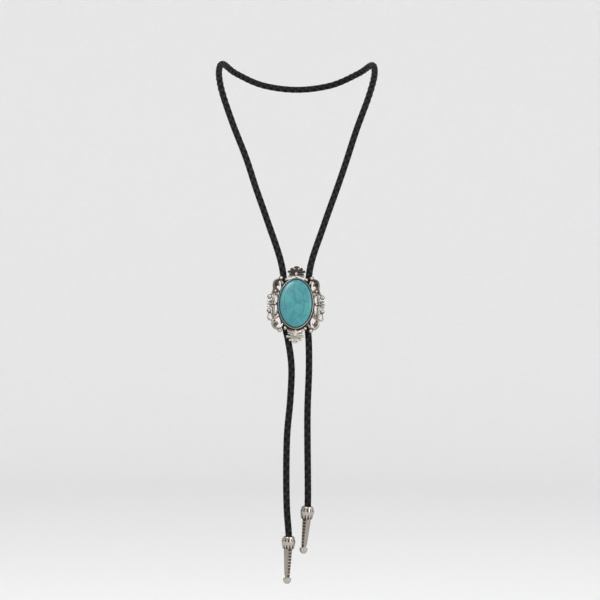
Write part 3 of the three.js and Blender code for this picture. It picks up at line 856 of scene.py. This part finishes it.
def make_braid():
    path = smooth_path(np.array(CORD_ROUTE) * MM, ROUTE_STEPS)
    mesh = path_mesh("cord_path", [(path, np.full(len(path), CORD_R))])
    faces = mesh.attributes.new("face", "FLOAT_VECTOR", "POINT")
    faces.data.foreach_set("vector", braid_faces(path).ravel())
    leather = black_leather()
    orbit = CORD_R - BRAID["weave"] - LACE["thickness"] / 2
    cord = grown(braid, mesh, {
        "Step": BRAID["step"], "Lay": BRAID["lay"], "Orbit": orbit, "Weave": BRAID["weave"],
        "Core": CORE["radius"], "Bend": LACE["bend"], "Row Turn": BRAID["row_turn"],
        "Section": (LACE["thickness"], LACE["width"], 1.0), "Material": leather})
    finished("braid", cord, "braided_cord", leather)


def new_material(name):
    material = bpy.data.materials.new(name)
    material.use_nodes = True
    nodes = Nodes(material.node_tree)
    shader = material.node_tree.nodes["Principled BSDF"]
    return material, nodes, shader


# Leather: colours, the deep one for black leather and its painted shade and the rubbed one for crowns
# painted as lit and worn, then grain and pores for each metre and their relief, and how the laces' crowns
# are painted lighter
LEATHER = {
    "deep": (0.0015, 0.0015, 0.0015, 1), "rubbed": (0.0215, 0.021, 0.0203, 1), "shine": 0.06,
    "grain": 2600, "grain_height": 0.18, "pores": 5200, "pore_detail": 4, "relief": 0.35, "depth": 0.12 * MM,
    "crown_across": (0.35, 0.95), "crown_over": (-0.6, 0.6), "crease_width": 0.12, "crease_share": 0.45,
    "pore_rubbed": (1.4, 0.4), "rough": (0.5, 0.72), "crown_rough": -0.15,
}


def black_leather():
    material, nodes, shader = new_material("black_leather")
    lace = nodes.add("ShaderNodeAttribute", attribute_name="lace").outputs["Vector"]
    over = nodes.add("ShaderNodeAttribute", attribute_name="over").outputs["Fac"]
    grain = nodes.cell_edge(lace, LEATHER["grain"])
    pores = nodes.noise(lace, LEATHER["pores"], LEATHER["pore_detail"])
    height = nodes.math("ADD", nodes.math("MINIMUM", grain, LEATHER["grain_height"]), pores)
    across = nodes.add("ShaderNodeSeparateXYZ", {"Vector": lace}).outputs["Y"]
    shoulder, edge = (share * LACE["width"] / 2 for share in LEATHER["crown_across"])
    # Painted shade and light: the laces' edges and the stretches that pass under other laces keep the deep
    # colour as painted shade, and the middles of the crowns are painted lighter, as lit and partly worn. The
    # crowns are darker along the grain's creases and vary with the pores.
    middle = nodes.ramp(nodes.math("ABSOLUTE", across), shoulder, edge, 1, 0, "SMOOTHSTEP")
    crown = nodes.math("MULTIPLY", middle, nodes.ramp(over, *LEATHER["crown_over"]))
    crease = nodes.ramp(grain, 0, LEATHER["crease_width"], LEATHER["crease_share"])
    crease_and_pore_tone = nodes.math("MULTIPLY", crease, nodes.math("MULTIPLY_ADD", pores, *LEATHER["pore_rubbed"]))
    lit_crown_and_wear = nodes.math("MULTIPLY", crown, crease_and_pore_tone, clamp=True)
    speckle = nodes.ramp(pores, 0, 1, *LEATHER["rough"])
    nodes.feed(shader, {
        "Base Color": nodes.mix(lit_crown_and_wear, LEATHER["deep"], LEATHER["rubbed"]),
        "Roughness": nodes.math("MULTIPLY_ADD", crown, LEATHER["crown_rough"], speckle),
        "Normal": nodes.bump(height, LEATHER["relief"], LEATHER["depth"]),
        "Specular IOR Level": LEATHER["shine"]})
    return material


# Silver: colours from its rubbed high places and painted highlights to its deep recesses and painted shade,
# then its patterns for each metre
SILVER = [(0, (0.56, 0.53, 0.48, 1)), (0.4, (0.24, 0.211, 0.182, 1)), (0.64, (0.07, 0.055, 0.043, 1)),
          (1, (0.016, 0.012, 0.01, 1))]
SILVER_SKIN = {
    "cloud": 1500, "cloud_detail": 5, "cloud_shift": 0.35, "pits": 3500, "pit_detail": 3, "relief": 0.25,
    "depth": 0.08 * MM, "patina_and_painted_light": (-0.6, 0.9), "rough": 0.1, "cloud_rough": 0.16, "recess_rough": 0.3,
    "recess_metal": -0.5,
}


def antique_silver():
    material, nodes, shader = new_material("antique_silver")
    place = nodes.add("ShaderNodeTexCoord").outputs["Object"]
    # On the slide this value holds patina in the hollows together with painted shade and painted highlights
    patina_and_painted_light = nodes.add("ShaderNodeAttribute", attribute_name="patina_and_painted_light").outputs["Fac"]
    cloud = nodes.noise(place, SILVER_SKIN["cloud"], SILVER_SKIN["cloud_detail"])
    pits = nodes.noise(place, SILVER_SKIN["pits"], SILVER_SKIN["pit_detail"])
    uneven = nodes.math("SUBTRACT", cloud, 0.5)
    shifted = nodes.math("MULTIPLY_ADD", uneven, SILVER_SKIN["cloud_shift"], patina_and_painted_light)
    share = nodes.ramp(shifted, *SILVER_SKIN["patina_and_painted_light"])
    colour = nodes.add("ShaderNodeValToRGB", {"Fac": share})
    stops = colour.color_ramp.elements
    for position, _ in SILVER[1:-1]:
        stops.new(position)
    for stop, (_, shade) in zip(stops, SILVER):
        stop.color = shade
    clouded = nodes.math("MULTIPLY_ADD", cloud, SILVER_SKIN["cloud_rough"], SILVER_SKIN["rough"])
    nodes.feed(shader, {
        "Base Color": colour.outputs["Color"],
        "Roughness": nodes.math("MULTIPLY_ADD", share, SILVER_SKIN["recess_rough"], clouded),
        "Metallic": nodes.math("MULTIPLY_ADD", share, SILVER_SKIN["recess_metal"], 1),
        "Normal": nodes.bump(pits, SILVER_SKIN["relief"], SILVER_SKIN["depth"])})
    return material


def slide_coordinates(nodes):
    """Object coordinates turned into the slide's own plane, in millimetres from the stone's centre."""
    place = nodes.add("ShaderNodeTexCoord").outputs["Object"]
    turned = nodes.add("ShaderNodeMapping", {
        "Vector": place, "Location": SLIDE_FRAME @ Vector((0, -STONE_LOW, 0)),
        "Rotation": SLIDE_FRAME.to_euler(), "Scale": (MM, MM, MM)},
        vector_type="TEXTURE")
    return turned.outputs[0]


# Stone: its colours, then its patterns for each millimetre by scale and detail, and how strongly they show,
# with a painted shadow round its edge
TURQUOISE = {
    "deep": (0.009, 0.118, 0.148, 1), "light": (0.036, 0.232, 0.262, 1), "pale": (0.07, 0.255, 0.265, 1),
    "green": (0.04, 0.235, 0.205, 1), "hair": (0.01, 0.085, 0.1, 1), "vein": (0.008, 0.06, 0.075, 1),
}
STONE_NOISE = {"wander": (0.45, 5), "patch": (0.16, 6), "fine": (1.6, 6), "tint": (0.11, 3)}
STONE_SKIN = {
    "wander": 1.6, "vein_width": (0.6, 0.2), "vein_strength": (0.7, 0.18), "hair_cells": 0.28,
    "hair_width": 0.03, "hair_strength": 0.16, "mottle": (0.3, 0.65), "pale_strength": 0.35,
    "green": (0.45, 0.7), "green_strength": 0.6, "rim": (0.955, 1), "edge_shadow_strength": 0.8,
    "rough": 0.28, "vein_rough": 0.15, "fine_rough": 0.18, "fine_height": 0.25, "relief": 0.2,
    "depth": 0.1 * MM, "coat": 0.08, "coat_rough": 0.2,
}


def vein_distance(nodes, place):
    """Distance in millimetres from a point of the stone's plane to the nearest vein."""
    nearest = BEYOND_VEINS
    for run in VEINS:
        for (u, v), (u2, v2) in zip(run, run[1:]):
            way = Vector((u2 - u, v2 - v, 0))
            from_start = nodes.vector("SUBTRACT", place, (u, v, 0))
            along = nodes.vector("DOT_PRODUCT", from_start, way / way.length_squared)
            share = nodes.math("ADD", along, 0, clamp=True)
            off = nodes.vector("SUBTRACT", from_start, nodes.scaled(tuple(way), share))
            nearest = nodes.math("MINIMUM", nearest, nodes.vector("LENGTH", off))
    return nearest


def turquoise():
    material, nodes, shader = new_material("turquoise_stone")
    flat = nodes.vector("MULTIPLY", slide_coordinates(nodes), (1, 1, 0))
    patch, fine, tint = (nodes.noise(flat, *STONE_NOISE[key]) for key in ("patch", "fine", "tint"))
    wander = nodes.noise(flat, *STONE_NOISE["wander"], "Color")
    level = nodes.vector("MULTIPLY", nodes.vector("SUBTRACT", wander, (0.5, 0.5, 0.5)), (1, 1, 0))
    bent = nodes.vector("ADD", flat, nodes.scaled(level, STONE_SKIN["wander"]))
    width = nodes.math("MULTIPLY_ADD", fine, *STONE_SKIN["vein_width"])
    vein = nodes.ramp(vein_distance(nodes, bent), 0, width, 1, 0, "SMOOTHSTEP")
    cells = nodes.cell_edge(bent, STONE_SKIN["hair_cells"])
    hair = nodes.ramp(cells, 0, STONE_SKIN["hair_width"], STONE_SKIN["hair_strength"], 0)
    pale = nodes.math("MULTIPLY", fine, STONE_SKIN["pale_strength"])
    green = nodes.ramp(tint, *STONE_SKIN["green"], 0, STONE_SKIN["green_strength"])
    faint = nodes.math("MULTIPLY", vein, nodes.math("MULTIPLY_ADD", patch, *STONE_SKIN["vein_strength"]))
    half_width, half_height = (half / MM for half in STONE_HALF)
    from_middle = nodes.vector("LENGTH", nodes.vector("DIVIDE", flat, (half_width, half_height, 1)))
    # Painted shadow: the stone's edge is painted in the vein colour where the bezel's wall shades it
    rim = nodes.ramp(from_middle, *STONE_SKIN["rim"], 0, STONE_SKIN["edge_shadow_strength"])
    colour = nodes.mix(nodes.ramp(patch, *STONE_SKIN["mottle"]), TURQUOISE["deep"], TURQUOISE["light"])
    for share, shade in ((pale, "pale"), (green, "green"), (hair, "hair"),
                         (nodes.math("MAXIMUM", faint, rim), "vein")):
        colour = nodes.mix(share, colour, TURQUOISE[shade])
    veined = nodes.math("MULTIPLY_ADD", vein, STONE_SKIN["vein_rough"], STONE_SKIN["rough"])
    height = nodes.math("SUBTRACT", nodes.math("MULTIPLY", fine, STONE_SKIN["fine_height"]), vein)
    nodes.feed(shader, {
        "Base Color": colour,
        "Roughness": nodes.math("MULTIPLY_ADD", fine, STONE_SKIN["fine_rough"], veined),
        "Normal": nodes.bump(height, STONE_SKIN["relief"], STONE_SKIN["depth"]),
        "Coat Weight": STONE_SKIN["coat"],
        "Coat Roughness": STONE_SKIN["coat_rough"]})
    return material


# Clip: colours, brushed lines and smears for each millimetre, and their relief
CLIP_SKIN = {
    "dull": (0.42, 0.42, 0.42, 1), "bright": (0.62, 0.61, 0.6, 1), "brushed": (14, 0.35, 14),
    "line_detail": 4, "smear": 0.3, "smear_detail": 5, "rough": (0.25, 0.22), "relief": 0.2,
    "depth": 0.05 * MM,
}


def clip_steel():
    material, nodes, shader = new_material("clip_steel")
    place = slide_coordinates(nodes)
    lines = nodes.noise(nodes.vector("MULTIPLY", place, CLIP_SKIN["brushed"]), 1, CLIP_SKIN["line_detail"])
    smear = nodes.noise(place, CLIP_SKIN["smear"], CLIP_SKIN["smear_detail"])
    nodes.feed(shader, {
        "Base Color": nodes.mix(smear, CLIP_SKIN["dull"], CLIP_SKIN["bright"]),
        "Roughness": nodes.math("MULTIPLY_ADD", lines, *CLIP_SKIN["rough"]),
        "Normal": nodes.bump(lines, CLIP_SKIN["relief"], CLIP_SKIN["depth"]),
        "Metallic": 1})
    return material


# Paper of the studio: its tones and its fibre for each metre
PAPER = {"dark": (0.81, 0.81, 0.81, 1), "light": (0.85, 0.85, 0.85, 1), "fibre": 120, "fibre_detail": 3,
         "rough": 0.9, "shine": 0.1}


def studio_paper():
    material, nodes, shader = new_material("studio_paper")
    place = nodes.add("ShaderNodeTexCoord").outputs["Object"]
    fibre = nodes.noise(place, PAPER["fibre"], PAPER["fibre_detail"])
    nodes.feed(shader, {
        "Base Color": nodes.mix(fibre, PAPER["dark"], PAPER["light"]),
        "Roughness": PAPER["rough"],
        "Specular IOR Level": PAPER["shine"]})
    return material


def make_floor():
    """A round floor whose edge bends up into a wall."""
    flat, bend, sides = (STUDIO[key] for key in ("flat", "bend", "sides"))
    profile = [(flat + bend * math.sin(a), bend * (1 - math.cos(a)))
               for a in np.linspace(0, math.pi / 2, STUDIO["bend_steps"])]
    profile.append((flat + bend, STUDIO["height"]))
    angles = np.arange(sides) / sides * 2 * math.pi
    places = [(r * math.cos(a), r * math.sin(a), STUDIO["floor"] + h) for r, h in profile for a in angles]
    faces = [tuple(range(sides))]
    for start in range(0, len(places) - sides, sides):
        for i in range(sides):
            j = (i + 1) % sides
            faces.append((start + j, start + i, start + sides + i, start + sides + j))
    mesh = bpy.data.meshes.new("studio_floor")
    mesh.from_pydata(places, [], faces)
    mesh.shade_smooth()
    mesh.materials.append(studio_paper())
    shown("studio_floor", mesh)


def make_lights():
    world = bpy.data.worlds.new("studio")
    world.use_nodes = True
    background = world.node_tree.nodes["Background"]
    background.inputs["Color"].default_value = (1, 1, 1, 1)
    background.inputs["Strength"].default_value = STUDIO["world"]
    scene.world = world
    for name, (place, size, watts) in LAMPS.items():
        light = bpy.data.lights.new(name, "AREA")
        light.shape = "DISK"
        light.size = size
        light.energy = watts
        obj = bpy.data.objects.new(name, light)
        obj.location = place
        obj.rotation_euler = (LAMP_AIM - obj.location).to_track_quat("-Z", "Y").to_euler()
        scene.collection.objects.link(obj)
    scene.view_settings.view_transform = "Standard"


make_camera()
make_braid()
silver = antique_silver()
make_slide(silver)
make_stone()
make_clip()
make_tips(silver)
make_floor()
make_lights()
